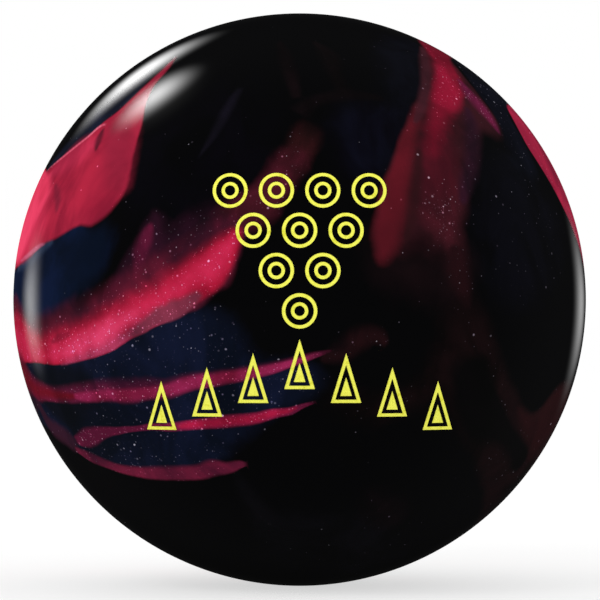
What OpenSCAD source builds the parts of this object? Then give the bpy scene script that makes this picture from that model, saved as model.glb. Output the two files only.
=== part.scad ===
// Ten-pin bowling ball, undrilled, in millimetres.
// Origin at the ball's centre. +Z runs up the weight block to its pin, and the decorated face looks along -Y.
// The ball is cast in layers: a dense weight block, a light outer core around it, and a coverstock shell
// around both. Decorations are engraved in the coverstock and filled with paint.

/* [Ball] */
// Diameter of the finished ball
ball_d = 217; // [216:0.5:218]
// Thickness of the coverstock shell
cover_t = 19; // [15:1:24]

/* [Weight block] */
// Diameter of the bulb
bulb_d = 96; // [84:2:104]
// Height of the bulb's centre above the ball's centre
bulb_rise = 12; // [6:1:16]
// Diameter of the foot under the bulb
foot_d = 74; // [64:2:80]
// Thickness of the foot
foot_h = 20; // [14:1:24]
// Depth of the foot's underside below the ball's centre
foot_drop = 62; // [58:1:66]
// Radius of the foot's rounded edges
foot_round = 6; // [2:1:7]
// Radius of the hollow waist between bulb and foot
waist_r = 20; // [16:1:24]
// Depth of the waist into the foot's diameter, on each side
waist_depth = 8; // [4:1:12]
// Diameter of the crown that carries the pin
crown_d = 44; // [30:2:50]
// Height of the crown's top above the ball's centre
crown_rise = 67; // [62:1:72]

/* [Pin] */
// Diameter of the pin plug
pin_d = 8; // [6:0.5:10]
// Depth of the pin's socket in the crown
pin_socket = 12; // [6:1:18]

/* [Engraving] */
// Width of an engraved line
line_w = 1.3; // [0.8:0.1:1.8]
// Depth of the engraving below the ball's surface
groove_depth = 0.8; // [0.5:0.1:1.2]
// Depth of the paint's surface below the ball's surface
paint_recess = 0.12; // [0.05:0.01:0.3]

/* [Pin triangle on the front] */
// Spacing of the ten spots
spot_pitch = 16.5; // [15:0.5:18]
// Outside diameter of a spot's outer ring
spot_d = 12.6; // [11:0.2:14]
// Outside diameter of a spot's inner ring
spot_eye_d = 6.2; // [5:0.2:7]
// Height of the lowest spot above the ball's centre
spot_base = -4; // [-8:1:0]

/* [Lane arrows on the front] */
// Number of arrows, an odd number
arrows = 7; // [3:2:9]
// Spacing of the arrows across the face
arrow_pitch = 16.5; // [15:0.5:18]
// Width of an arrow
arrow_w = 11; // [10:0.5:13]
// Length of an arrow
arrow_l = 18; // [16:0.5:20]
// Clear space between an arrow's outline and the solid heart inside it
arrow_heart_gap = 1.2; // [0.8:0.1:1.4]
// Clear space between the lowest spot and the middle arrow's point
arrow_gap = 3.5; // [1:0.5:6]
// Step down from one arrow to the next one out
arrow_step = 5; // [3:0.5:6]

/* [Side mark] */
// Turn of the side mark from the front, in degrees
side_turn = 99; // [92:1:110]
// Drop of the side mark below the ball's equator, in degrees
side_drop = 3; // [0:1:10]
// Outside diameter of the side mark's ring
side_d = 56; // [44:2:64]
// Outside diameter of the two finger rings in the side mark
side_finger_d = 9; // [7:0.5:10]
// Outside diameter of the thumb ring in the side mark
side_thumb_d = 12; // [10:0.5:13]
// Spacing of the two finger rings
side_finger_pitch = 11; // [10.5:0.5:14]
// Distance of the finger rings and the thumb ring from the side mark's centre
side_reach = 12; // [10:0.5:14]

/* [Balance dot] */
// Diameter of the dot that marks the ball's heavy side
dot_d = 4.5; // [3:0.5:6]
// Angle between the pin and the balance dot, in degrees
dot_angle = 34; // [25:1:45]

/* [Hidden] */
$fn = 96;

ball_r = ball_d / 2;
core_r = ball_r - cover_t;
groove_floor = ball_r - groove_depth;
paint_top = ball_r - paint_recess;
cut_past = 1; // how far a cutting shape runs past the surface that it cuts

spot_rows = 4;
arrow_top = spot_base - spot_d / 2 - arrow_gap; // height of the middle arrow's point
waist_rise = foot_h - foot_drop + waist_r / 2; // height of the waist's middle

// ---- Shapes that the casting and the engraving share ----

// The hollow ball between two radii.
module hollow_ball(inner_r, outer_r) {
    difference() {
        sphere(r = outer_r);
        sphere(r = inner_r);
    }
}

// A flat drawing, cut straight back into the front of the ball between two radii.
module inlay(inner_r, outer_r) {
    intersection() {
        rotate([90, 0, 0]) linear_extrude(height = ball_r + 2 * cut_past) children();
        hollow_ball(inner_r, outer_r);
    }
}

// The space that the engraver's cutter clears for a drawing.
module groove() {
    inlay(groove_floor, ball_r + cut_past) children();
}

// The paint that fills that space, a hair below the ball's surface.
module paint() {
    inlay(groove_floor, paint_top) children();
}

// A ring drawn with the engraver's line.
module ring(outside_d) {
    difference() {
        circle(d = outside_d);
        circle(d = outside_d - 2 * line_w);
    }
}

// ---- Drawings, each on a flat plane with +Y up the ball ----

// One pin spot: a ring with a smaller ring in it.
module pin_spot() {
    ring(spot_d);
    ring(spot_eye_d);
}

// Ten spots, set out as the pins stand: one at the bottom and four at the top.
module pin_triangle() {
    for (row = [0 : spot_rows - 1], place = [0 : row])
        translate([(place - row / 2) * spot_pitch, spot_base + row * spot_pitch * sin(60)])
            pin_spot();
}

// A triangle with its point up at the origin, drawn in by a margin on every side.
module arrow_shape(margin) {
    side_l = norm([arrow_w / 2, arrow_l]);
    point_drop = margin * side_l / (arrow_w / 2); // how far the point moves down
    base_rise = arrow_l - margin;
    base_half_w = (base_rise - point_drop) * arrow_w / 2 / arrow_l;
    polygon([[0, -point_drop], [base_half_w, -base_rise], [-base_half_w, -base_rise]]);
}

// One lane arrow: an outline with a solid heart.
module lane_arrow() {
    difference() {
        arrow_shape(0);
        arrow_shape(line_w);
    }
    arrow_shape(line_w + arrow_heart_gap);
}

// The lane arrows, side by side, the middle one highest.
module lane_arrows() {
    middle = (arrows - 1) / 2;
    for (i = [0 : arrows - 1])
        translate([(i - middle) * arrow_pitch, arrow_top - abs(i - middle) * arrow_step])
            lane_arrow();
}

// A drilled ball seen from above: a ring with two finger holes and a thumb hole.
module ball_sign() {
    ring(side_d);
    for (side = [-1, 1])
        translate([side * side_finger_pitch / 2, side_reach]) ring(side_finger_d);
    translate([0, -side_reach]) ring(side_thumb_d);
}

// Turns a front drawing to the side mark's place.
module at_side() {
    rotate([side_drop, 0, side_turn]) children();
}

// Turns a front drawing to the balance dot's place, behind the pin.
module at_dot() {
    rotate([-90 - dot_angle, 0, 0]) children();
}

// ---- The cast pieces ----

// A disc with rounded edges, standing on the plane z = 0.
module rounded_disc(diameter, height, edge_r) {
    rim = diameter / 2 - edge_r;
    rotate_extrude() {
        square([rim, height]);
        translate([0, edge_r]) square([diameter / 2, height - 2 * edge_r]);
        for (z = [edge_r, height - edge_r]) translate([rim, z]) intersection() {
            circle(r = edge_r);
            translate([0, -edge_r]) square(2 * edge_r);
        }
    }
}

// The outside of the weight block, without the pin's socket.
module block_shape() {
    difference() {
        union() {
            translate([0, 0, bulb_rise]) sphere(d = bulb_d);
            translate([0, 0, foot_round - foot_drop])
                cylinder(d = foot_d, h = bulb_rise + foot_drop - foot_round);
        }
        translate([0, 0, waist_rise]) rotate_extrude()
            translate([foot_d / 2 - waist_depth + waist_r, 0]) circle(r = waist_r);
    }
    translate([0, 0, -foot_drop]) rounded_disc(foot_d, foot_h, foot_round);
    translate([0, 0, bulb_rise]) cylinder(d = crown_d, h = crown_rise - bulb_rise);
}

// The pin's full length, from the bottom of its socket to past the ball's surface.
module pin_bore() {
    translate([0, 0, crown_rise - pin_socket])
        cylinder(d = pin_d, h = ball_r - crown_rise + pin_socket + cut_past);
}

module coverstock() {
    color("midnightblue") difference() {
        hollow_ball(core_r, ball_r);
        pin_bore();
        groove() pin_triangle();
        groove() lane_arrows();
        at_side() groove() ball_sign();
        at_dot() groove() circle(d = dot_d);
    }
}

module outer_core() {
    color("gainsboro") difference() {
        sphere(r = core_r);
        block_shape();
        pin_bore();
    }
}

module weight_block() {
    color("darkorange") difference() {
        block_shape();
        pin_bore();
    }
}

module pin_plug() {
    color("crimson") intersection() {
        pin_bore();
        sphere(r = ball_r);
    }
}

// ---- The paint in the engraving ----

module pin_spot_fill() {
    color("yellow") paint() pin_triangle();
}

module lane_arrow_fill() {
    color("yellow") paint() lane_arrows();
}

module side_mark_fill() {
    color("yellow") at_side() paint() ball_sign();
}

module balance_dot_fill() {
    color("white") at_dot() paint() circle(d = dot_d);
}

coverstock();
outer_core();
weight_block();
pin_plug();
pin_spot_fill();
lane_arrow_fill();
side_mark_fill();
balance_dot_fill();
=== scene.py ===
import math

import bmesh
import bpy
import numpy as np
from mathutils import Matrix, Vector


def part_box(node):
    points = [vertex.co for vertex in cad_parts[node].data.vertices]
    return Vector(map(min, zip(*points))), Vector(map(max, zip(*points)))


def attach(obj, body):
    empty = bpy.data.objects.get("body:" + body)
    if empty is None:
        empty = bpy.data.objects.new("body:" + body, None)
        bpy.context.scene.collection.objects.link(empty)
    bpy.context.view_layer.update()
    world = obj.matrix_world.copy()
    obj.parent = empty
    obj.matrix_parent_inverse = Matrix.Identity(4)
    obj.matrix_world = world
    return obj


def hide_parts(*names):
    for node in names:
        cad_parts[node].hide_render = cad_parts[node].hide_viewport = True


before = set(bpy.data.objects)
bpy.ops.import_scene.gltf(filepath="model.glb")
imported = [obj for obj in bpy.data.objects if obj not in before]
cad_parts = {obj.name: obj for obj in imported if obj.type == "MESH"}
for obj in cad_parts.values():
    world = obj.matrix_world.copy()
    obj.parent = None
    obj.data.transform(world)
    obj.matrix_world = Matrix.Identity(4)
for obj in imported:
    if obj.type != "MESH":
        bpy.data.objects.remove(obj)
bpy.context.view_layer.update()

# ---- The camera ----
# It stands level with the ball's centre, straight in front of the engraving, and far enough off that the ball
# looks nearly flat-on. The lens is set so that the ball fills most of the frame's width.

ball_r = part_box("coverstock")[1][0]
camera_distance = 1.6
ball_share_of_frame = 0.95433
ball_off_middle = 0.00067 # as a share of the frame's width, to the left and upwards

camera_data = bpy.data.cameras.new("camera")
camera_data.sensor_width = 36
limb_slope = math.tan(math.asin(ball_r / camera_distance))
camera_data.lens = camera_data.sensor_width / 2 / (limb_slope / ball_share_of_frame)
camera_data.shift_x = ball_off_middle
camera_data.shift_y = -ball_off_middle
camera = bpy.data.objects.new("camera", camera_data)
camera.location = (0, -camera_distance, 0)
camera.rotation_euler = (math.radians(90), 0, 0)
bpy.context.collection.objects.link(camera)
bpy.context.scene.camera = camera


# ---- Weight block ----
# The dense heart of the ball: a bulb on a foot, with a crown for the pin. It is cast in an orange filled
# resin, and comes out of its mould with a dull, clouded skin full of mineral specks.

def dye(red, green, blue):
    """A colour given as everyday 0 to 255 values, turned into the renderer's own."""
    shares = [value / 255 for value in (red, green, blue)]
    return [s / 12.92 if s <= 0.04045 else ((s + 0.055) / 1.055) ** 2.4 for s in shares] + [1]


def add_node(tree, kind, inputs=None, **settings):
    """A shader node. Each of its inputs is set to a value, or joined to the socket that is given for it."""
    node = tree.nodes.new(kind)
    for name, value in settings.items():
        setattr(node, name, value)
    for name, value in (inputs or {}).items():
        if isinstance(value, bpy.types.NodeSocket):
            tree.links.new(value, node.inputs[name])
        else:
            node.inputs[name].default_value = value
    return node


def maths(tree, operation, first, second, third=0.5, clamp=False):
    """The result of a Math node."""
    node = add_node(tree, "ShaderNodeMath", {0: first, 1: second, 2: third}, operation=operation)
    node.use_clamp = clamp
    return node.outputs[0]


def blend(tree, share, none, full):
    """A colour that runs from one colour to another as share runs from 0 to 1."""
    node = add_node(tree, "ShaderNodeMix", {0: share, 6: none, 7: full}, data_type="RGBA")
    return node.outputs[2]


def eased(tree, value, low, high, to_low=0.0, to_high=1.0):
    """A value that eases from one level to another as the first value runs from low to high."""
    sockets = {"Value": value, "From Min": low, "From Max": high, "To Min": to_low, "To Max": to_high}
    return add_node(tree, "ShaderNodeMapRange", sockets, interpolation_type="SMOOTHSTEP").outputs[0]


def new_group(name, inputs, outputs):
    """An empty node group with named sockets. Returns it with its two end nodes."""
    tree = bpy.data.node_groups.new(name, "ShaderNodeTree")
    for label, kind, value in inputs:
        tree.interface.new_socket(label, in_out="INPUT", socket_type=kind).default_value = value
    for label, kind in outputs:
        tree.interface.new_socket(label, in_out="OUTPUT", socket_type=kind)
    return tree, tree.nodes.new("NodeGroupInput"), tree.nodes.new("NodeGroupOutput")


def place_group(tree, group, inputs):
    """A group placed in a material, with its own values."""
    return add_node(tree, "ShaderNodeGroup", inputs, node_tree=group)


def new_material(name):
    """A material with an empty tree. Returns it with its tree and the object's own coordinates, in metres."""
    material = bpy.data.materials.new(name)
    material.use_nodes = True
    material.node_tree.nodes.clear()
    place = material.node_tree.nodes.new("ShaderNodeTexCoord").outputs["Object"]
    return material, material.node_tree, place


def finish_material(tree, inputs, height=None, bump_depth=0.0):
    """Ends a material with its Principled shader, and with a bump if a height is given."""
    if height is not None:
        bump = add_node(tree, "ShaderNodeBump", {"Height": height, "Distance": bump_depth})
        inputs = dict(inputs, Normal=bump.outputs[0])
    shader = add_node(tree, "ShaderNodeBsdfPrincipled", inputs)
    add_node(tree, "ShaderNodeOutputMaterial", {"Surface": shader.outputs[0]})


def give_material(node_name, material):
    """A CAD node keeps its shape and takes this material."""
    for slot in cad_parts[node_name].material_slots:
        slot.material = material


# Cast resin seen close up: clouds where it flowed, specks of filler, and pores where bubbles broke, dipped in
# the bump and darkened in colour as painted shade in their pits.
cast_resin, ends_in, ends_out = new_group(
    "cast resin",
    [("Place", "NodeSocketVector", (0, 0, 0)), ("Deep", "NodeSocketColor", (0, 0, 0, 1)),
     ("Pale", "NodeSocketColor", (1, 1, 1, 1)), ("Speck", "NodeSocketColor", (1, 1, 1, 1)),
     ("Cloud Scale", "NodeSocketFloat", 60.0), ("Speck Scale", "NodeSocketFloat", 900.0)],
    [("Colour", "NodeSocketColor"), ("Roughness", "NodeSocketFloat"), ("Height", "NodeSocketFloat")],
)
clouds = add_node(cast_resin, "ShaderNodeTexNoise", {
    "Vector": ends_in.outputs["Place"], "Scale": ends_in.outputs["Cloud Scale"],
    "Detail": 4.0, "Distortion": 1.2})
grains = add_node(cast_resin, "ShaderNodeTexVoronoi", {
    "Vector": ends_in.outputs["Place"], "Scale": ends_in.outputs["Speck Scale"]})
is_speck = eased(cast_resin, grains.outputs["Distance"], 0.32, 0.22)
pores = add_node(cast_resin, "ShaderNodeTexVoronoi", {
    "Vector": ends_in.outputs["Place"], "Scale": 260.0})
is_pore = eased(cast_resin, pores.outputs["Distance"], 0.2, 0.08)
clouded = blend(cast_resin, eased(cast_resin, clouds.outputs["Fac"], 0.3, 0.7),
                ends_in.outputs["Deep"], ends_in.outputs["Pale"])
speckled = blend(cast_resin, maths(cast_resin, "MULTIPLY", is_speck, 0.5), clouded, ends_in.outputs["Speck"])
# Painted shade: the pores are darkened towards the deep tone, as shade in their pits.
pores_with_painted_shade = blend(cast_resin, maths(cast_resin, "MULTIPLY", is_pore, 0.6), speckled, ends_in.outputs["Deep"])
cast_resin.links.new(pores_with_painted_shade, ends_out.inputs["Colour"])
cast_resin.links.new(
    eased(cast_resin, clouds.outputs["Fac"], 0.2, 0.8, 0.42, 0.62), ends_out.inputs["Roughness"])
cast_resin.links.new(
    maths(cast_resin, "SUBTRACT", maths(cast_resin, "MULTIPLY", clouds.outputs["Fac"], 0.3), is_pore),
    ends_out.inputs["Height"])

block_resin, tree, place = new_material("block resin")
mottle = place_group(tree, cast_resin, {
    "Place": place, "Deep": dye(196, 92, 26), "Pale": dye(226, 124, 48), "Speck": dye(240, 190, 140),
    "Cloud Scale": 45.0, "Speck Scale": 800.0})
finish_material(tree, {"Base Color": mottle.outputs["Colour"], "Roughness": mottle.outputs["Roughness"]},
                height=mottle.outputs["Height"], bump_depth=0.0004)
give_material("weight_block", block_resin)


# ---- Outer core ----
# Light filler resin that is cast around the weight block to make a smaller ball. It is pale and chalky, and
# is turned true on a lathe before the coverstock goes on, which leaves fine rings around its upright axis.

filler_resin, tree, place = new_material("filler resin")
mottle = place_group(tree, cast_resin, {
    "Place": place, "Deep": dye(196, 192, 184), "Pale": dye(226, 223, 216), "Speck": dye(250, 249, 245),
    "Cloud Scale": 30.0, "Speck Scale": 600.0})
turning = add_node(tree, "ShaderNodeTexWave", {"Vector": place, "Scale": 220.0, "Distortion": 0.6},
                   wave_type="BANDS", bands_direction="Z")
ridges = maths(tree, "MULTIPLY_ADD", turning.outputs["Fac"], 0.35, mottle.outputs["Height"])
finish_material(tree, {"Base Color": mottle.outputs["Colour"], "Roughness": mottle.outputs["Roughness"]},
                height=ridges, bump_depth=0.0003)
give_material("outer_core", filler_resin)


# ---- Pin plug ----
# The crimson resin rod that held the weight block in the middle of the mould. Only its end shows, ground and
# polished flush with the ball.

pin_resin, tree, place = new_material("pin resin")
mottle = place_group(tree, cast_resin, {
    "Place": place, "Deep": dye(150, 20, 44), "Pale": dye(196, 36, 64), "Speck": dye(226, 96, 120),
    "Cloud Scale": 260.0, "Speck Scale": 1500.0})
polish = eased(tree, mottle.outputs["Roughness"], 0.42, 0.62, 0.12, 0.2)
finish_material(
    tree, {"Base Color": mottle.outputs["Colour"], "Roughness": polish, "Specular IOR Level": 0.2},
    height=mottle.outputs["Height"], bump_depth=0.00003)
give_material("pin_plug", pin_resin)


# ---- Coverstock ----
# The polished shell of pearl resin, poured around the core in black, navy and crimson streams that swirl into
# one another, with pearl flakes drifting in them. The engraver's grooves and the pin's bore are cut last.

inner_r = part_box("outer_core")[1][0]
paint_recess = 0.00012
paint_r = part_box("pin_plug")[1][2] - paint_recess
skin_steps = 112 # quads along each side of the skin's six patches
lining_steps = 24


def even_ball(radius, steps):
    """A ball of quads of nearly one size: a cube's six grids, pushed out to the radius."""
    ball = bmesh.new()
    bmesh.ops.create_cube(ball, size=2)
    bmesh.ops.subdivide_edges(ball, edges=ball.edges[:], cuts=steps - 1, use_grid_fill=True)
    for vert in ball.verts:
        turned = Vector([math.tan(side * math.pi / 4) for side in vert.co])
        vert.co = turned.normalized() * radius
    return ball


def mesh_of(shape, name):
    """Turns a bmesh into a named mesh."""
    mesh = bpy.data.meshes.new(name)
    shape.to_mesh(mesh)
    shape.free()
    return mesh


def add_object(name, mesh):
    """An object for a mesh, in the scene."""
    made = bpy.data.objects.new(name, mesh)
    bpy.context.collection.objects.link(made)
    return made


shell = even_ball(ball_r, skin_steps)
lining = even_ball(inner_r, lining_steps)
bmesh.ops.reverse_faces(lining, faces=lining.faces[:])
lining_mesh = mesh_of(lining, "lining")
shell.from_mesh(lining_mesh)
bpy.data.meshes.remove(lining_mesh)
coverstock = add_object("coverstock_skin", mesh_of(shell, "coverstock_skin"))

# The pieces that fill a groove or the bore are its cutter too, once their outer faces are drawn out past the
# skin.
weld_distance = 1e-7
outer_face_depth = 0.0003 # a vertex less than this far below the paint's surface is on an outer face
groove_pull = 1.004

cutter = bmesh.new()
for filling in ("pin_plug", "pin_spot_fill", "lane_arrow_fill", "side_mark_fill", "balance_dot_fill"):
    cutter.from_mesh(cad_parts[filling].data)
bmesh.ops.remove_doubles(cutter, verts=cutter.verts[:], dist=weld_distance)
for vert in cutter.verts:
    if vert.co.length > paint_r - outer_face_depth:
        vert.co *= groove_pull
cutter_object = add_object("groove_cutter", mesh_of(cutter, "groove_cutter"))
cut = coverstock.modifiers.new("grooves", "BOOLEAN")
cut.operation = "DIFFERENCE"
cut.solver = "MANIFOLD"
cut.object = cutter_object
cut_mesh = bpy.data.meshes.new_from_object(coverstock.evaluated_get(bpy.context.evaluated_depsgraph_get()))
coverstock.modifiers.clear()
bpy.data.objects.remove(cutter_object)
coverstock.data = cut_mesh
coverstock.data.materials.clear()

# The skin and the lining are shaded as true balls, and the groove walls as the flat cuts that they are.
ball_facing = 0.95 # how squarely a face of the skin or the lining looks in or out, at the least

skin = coverstock.data
skin.polygons.foreach_set("use_smooth", np.ones(len(skin.polygons), dtype=bool))
places = np.empty(len(skin.vertices) * 3, dtype=np.float32)
skin.vertices.foreach_get("co", places)
places = places.reshape(-1, 3)
outward = places / np.linalg.norm(places, axis=1, keepdims=True)
corner_verts = np.empty(len(skin.loops), dtype=np.int32)
skin.loops.foreach_get("vertex_index", corner_verts)
corner_counts = np.empty(len(skin.polygons), dtype=np.int32)
skin.polygons.foreach_get("loop_total", corner_counts)
face_normals = np.empty(len(skin.polygons) * 3, dtype=np.float32)
skin.polygons.foreach_get("normal", face_normals)
corner_normals = np.repeat(face_normals.reshape(-1, 3), corner_counts, axis=0)
tilt = np.sum(corner_normals * outward[corner_verts], axis=1, keepdims=True)
corner_normals = np.where(np.abs(tilt) > ball_facing, np.sign(tilt) * outward[corner_verts], corner_normals)
skin.normals_split_custom_set(corner_normals.tolist())

# The streams are laid on in the order in which they were poured, each over the last; three of them carry
# painted light as well, as said where they are laid. A pool is a closed outline, and a vein a line with a
# width. Their points are (azimuth, elevation, millimetres): degrees round from the front and up from the
# middle, then the softness of a pool's edge there, or half of a vein's width.
run_step = 1.5 # millimetres along a stream from one step of its curve to the next
shown_past = 0.25 # radians past a stream's own points, within which its edge may show
least_edge = 0.05 # the least softness or half width, in millimetres
batches = 40 # the skin's points are looked through in so many lots, to save memory
far_off = 4 # the value noted where a stream doesn't show
room_in_widths = 3 # how many half widths to each side a vein keeps its room
streams = []


def directions(azimuth, elevation):
    """Unit vectors out from the ball's centre. Azimuth 0 is the front, and 90 the ball's +X side."""
    round_by = np.radians(azimuth)
    up_by = np.radians(elevation)
    level = np.cos(up_by)
    return np.stack([np.sin(round_by) * level, -np.cos(round_by) * level, np.sin(up_by)], axis=-1)


def smooth_run(points, closed):
    """Steps of about run_step along a smooth curve through points. Returns directions and third values."""
    points = np.array(points, dtype=float)
    knots = np.column_stack([directions(points[:, 0], points[:, 1]), points[:, 2]])
    if closed:
        knots = np.concatenate([knots[-1:], knots, knots[:2]])
    else:
        knots = np.concatenate([2 * knots[:1] - knots[1:2], knots, 2 * knots[-1:] - knots[-2:-1]])
    runs = []
    for before, start, end, after in zip(knots, knots[1:], knots[2:], knots[3:]):
        first, middle, last = [math.sqrt(np.linalg.norm((b - a)[:3]))
                               for a, b in ((before, start), (start, end), (end, after))]
        leaving = (start - before) / first - (end - before) / (first + middle) + (end - start) / middle
        arriving = (end - start) / middle - (after - start) / (middle + last) + (after - end) / last
        steps = max(2, math.ceil(middle ** 2 * ball_r * 1000 / run_step))
        t = np.linspace(0, 1, steps, endpoint=False)[:, None]
        runs.append((2 * t**3 - 3 * t**2 + 1) * start + (3 * t**2 - 2 * t**3) * end
                    + ((t**3 - 2 * t**2 + t) * leaving + (t**3 - t**2) * arriving) * middle)
    if not closed:
        runs.append(knots[-2:-1])
    run = np.concatenate(runs)
    ways = run[:, :3] / np.linalg.norm(run[:, :3], axis=1, keepdims=True)
    return ways.astype(np.float32), np.maximum(run[:, 3], least_edge).astype(np.float32)


def near(ways):
    """Which points of the skin are close enough to a stream to show it."""
    middle = ways.mean(axis=0)
    middle /= np.linalg.norm(middle)
    farthest = math.acos(max(-1, min(1, float(np.min(ways @ middle)))))
    return np.nonzero(outward @ middle > math.cos(min(math.pi, farthest + shown_past)))[0]


def nearest_on(spots, ways, values, closed):
    """For each spot, at the nearest place on the run: how far off it is in millimetres, how far along the run
    it lies, the run's value there, and whether the spot is left of the run."""
    count = len(ways)
    following = np.roll(ways, -1, axis=0)
    across = following - ways
    through = following - np.roll(ways, 1, axis=0)
    length = np.linalg.norm(across, axis=1)
    start = np.concatenate([[0], np.cumsum(length)[:-1]])
    closest = np.concatenate([np.argmax(part @ ways.T, axis=1) for part in np.array_split(spots, batches)])
    found = None
    for step in (closest - 1, closest):
        step = step % count if closed else np.clip(step, 0, count - 2)
        reach = np.sum((spots - ways[step]) * across[step], axis=1) / length[step] ** 2
        share = np.clip(reach, 0, 1)
        foot = ways[step] + across[step] * share[:, None]
        heading = np.where(((reach > 0) & (reach < 1))[:, None], across[step], through[closest])
        gap = np.linalg.norm(spots - foot, axis=1)
        past_end = (step == 0) & (reach < 0) | (step == count - 2) & (reach > 1)
        along = start[step] + length[step] * np.where(past_end, reach, share)
        value = values[step] * (1 - share) + values[(step + 1) % count] * share
        left = np.sum(np.cross(foot, heading) * (spots - foot), axis=1) > 0
        these = (gap, along, value, left)
        if found is None:
            found = these
        else:
            nearer = gap < found[0]
            found = [np.where(nearer, new, old) for new, old in zip(these, found)]
    millimetres = ball_r * 1000
    return found[0] * millimetres, found[1] * millimetres, found[2], found[3]


def note_on_skin(name, spots, values, elsewhere):
    """Keeps a value for each point of the skin under a name, for the material to read."""
    noted = np.full(len(outward), elsewhere, dtype=np.float32)
    noted[spots] = np.clip(values, -far_off, far_off)
    skin.attributes.new(name, "FLOAT", "POINT").data.foreach_set("value", noted)


def pool(name, deep, bright, sparkle, outline, strength=1.0):
    """A stream with a closed outline: notes how deep inside it each point of the skin lies."""
    ways, softness = smooth_run(outline, closed=True)
    if np.sum(np.cross(ways, np.roll(ways, -1, axis=0)) @ ways.mean(axis=0)) < 0:
        ways, softness = ways[::-1], softness[::-1]
    spots = near(ways)
    gap, along, soft, left = nearest_on(outward[spots], ways, softness, closed=True)
    note_on_skin(name, spots, np.where(left, gap, -gap) / soft, -far_off)
    streams.append((name, dye(*deep), dye(*bright), sparkle, strength, None))


def vein(name, deep, bright, sparkle, soft, line, strength=1.0):
    """A stream that is a line with a width: notes how many half widths each point of the skin lies to its
    left, and how much room it has in millimetres. soft is for the left and right edges."""
    ways, half_widths = smooth_run(line, closed=False)
    spots = near(ways)
    gap, along, half_width, left = nearest_on(outward[spots], ways, half_widths, closed=False)
    run_length = np.sum(np.linalg.norm(np.diff(ways, axis=0), axis=1)) * ball_r * 1000
    note_on_skin(name, spots, np.where(left, gap, -gap) / half_width, far_off)
    room = np.minimum(np.minimum(along, run_length - along), room_in_widths * half_width - gap)
    note_on_skin(name + " room", spots, room, -far_off)
    streams.append((name, dye(*deep), dye(*bright), sparkle, strength, soft))


pool("indigo cloud", deep=(0, 0, 1), bright=(2, 1, 6), sparkle=0.02, outline=[
    (-39.5, 32, 9), (-30, 37, 9), (-18, 46.5, 9), (-7.5, 39, 9), (-5.5, 27.5, 9), (-22, 14.5, 9),
    (-38, 20, 9),
])
pool("middle cloud", deep=(1, 0, 5), bright=(8, 9, 24), sparkle=0.01, outline=[
    (9.5, 38.5, 9), (26.5, 39.5, 9), (16, 23, 9), (10.5, 24, 9), (8, 30.5, 9),
])
pool("right cloud", deep=(0, 0, 2), bright=(4, 4, 12), sparkle=0.1, outline=[
    (44.5, 28, 9), (57, 30.5, 9), (61.5, 22.5, 9), (66, 14.5, 9), (61, 5.5, 9), (51, 0, 9),
    (40.5, 1.5, 9), (36.5, 13, 9),
])
pool("low cloud", deep=(0, 0, 1), bright=(6, 5, 10), sparkle=0.05, outline=[
    (-9, -49, 8), (9, -47.5, 8), (30.5, -50.5, 8), (44.5, -61.5, 8), (32.5, -71, 8), (-7, -69, 8),
])
pool("crown cloud", deep=(1, 3, 9), bright=(9, 15, 30), sparkle=0.2, outline=[
    (-160, 58, 9), (-120, 64, 9), (180, 82, 9), (120, 66, 9), (160, 52, 9),
])
pool("back cloud", deep=(5, 8, 20), bright=(13, 20, 42), sparkle=0.45, outline=[
    (-104, -10, 7), (-112, 14, 7), (-135, 20, 7), (-160, 30, 7), (172, 34, 7), (158, 16, 7),
    (168, -4, 7), (-172, -18, 7), (-140, -20, 7),
])
pool("heel cloud", deep=(2, 3, 8), bright=(12, 13, 26), sparkle=0.2, outline=[
    (-160, -52, 8), (-115, -58, 8), (180, -84, 8), (115, -64, 8), (160, -52, 8),
])
vein("indigo streak", deep=(10, 8, 16), bright=(22, 18, 32), sparkle=0.02, strength=0.7,
     soft=(0.9, 0.9), line=[
    (-22.5, 27.5, 0.4), (-20, 33, 1.4), (-18, 39.5, 1.8), (-16, 45.5, 1),
])
vein("low trail", deep=(0, 0, 1), bright=(6, 5, 9), sparkle=0.03, strength=0.9, soft=(0.9, 0.9), line=[
    (-16, -32.5, 1), (-12.5, -42, 3.5), (-8, -50, 5), (-3, -56, 5),
])
vein("top streak", deep=(3, 0, 1), bright=(17, 6, 9), sparkle=0.03, strength=0.75,
     soft=(0.8, 0.8), line=[
    (-8.5, 61.5, 0.6), (-5, 55, 2.4), (-0.5, 41.5, 1.6),
])
vein("second top streak", deep=(1, 0, 0), bright=(12, 4, 6), sparkle=0.03, strength=0.7,
     soft=(0.8, 0.8), line=[
    (5, 61.5, 0.6), (9.5, 55.5, 3), (11, 48.5, 2.6), (12, 42.5, 2),
])
vein("top arch", deep=(4, 1, 2), bright=(15, 6, 9), sparkle=0.05, strength=0.75, soft=(0.8, 0.8), line=[
    (-0.5, 37.5, 4), (3.5, 41, 2.6), (12, 43, 2.6), (23, 42, 1),
])
pool("tail top", deep=(26, 8, 9), bright=(50, 15, 19), sparkle=0.35, outline=[
    (-5, 26, 3), (-3.5, 28.5, 2.8), (-1.5, 33.5, 3.5), (1, 35, 4.5), (4, 33.5, 4), (4, 30.5, 3),
    (2, 27.5, 3), (0, 25, 4),
])
pool("tail", deep=(40, 10, 16), bright=(82, 22, 38), sparkle=0.5, outline=[
    (-20.5, 13, 4), (-18, 15.5, 3), (-15.5, 18, 2.6), (-9, 22, 2.6), (-3, 29, 4.5), (0, 29, 4.5),
    (1.5, 27, 3.5), (-4, 18, 2.6), (-5, 16, 3), (-15.5, 11, 4),
])
pool("navy shoulder", deep=(2, 11, 29), bright=(8, 22, 52), sparkle=0.01, outline=[
    (-78.5, 6, 1), (-60, 11, 1), (-49.5, 14.5, 1), (-45.5, 13.5, 3), (-42, 14, 5), (-40, 11.5, 6),
    (-41.5, 6, 5), (-48.5, 0.5, 5), (-60, -3.5, 4), (-76, -3, 3), (-98, -4, 3), (-104, 6, 3),
])
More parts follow.
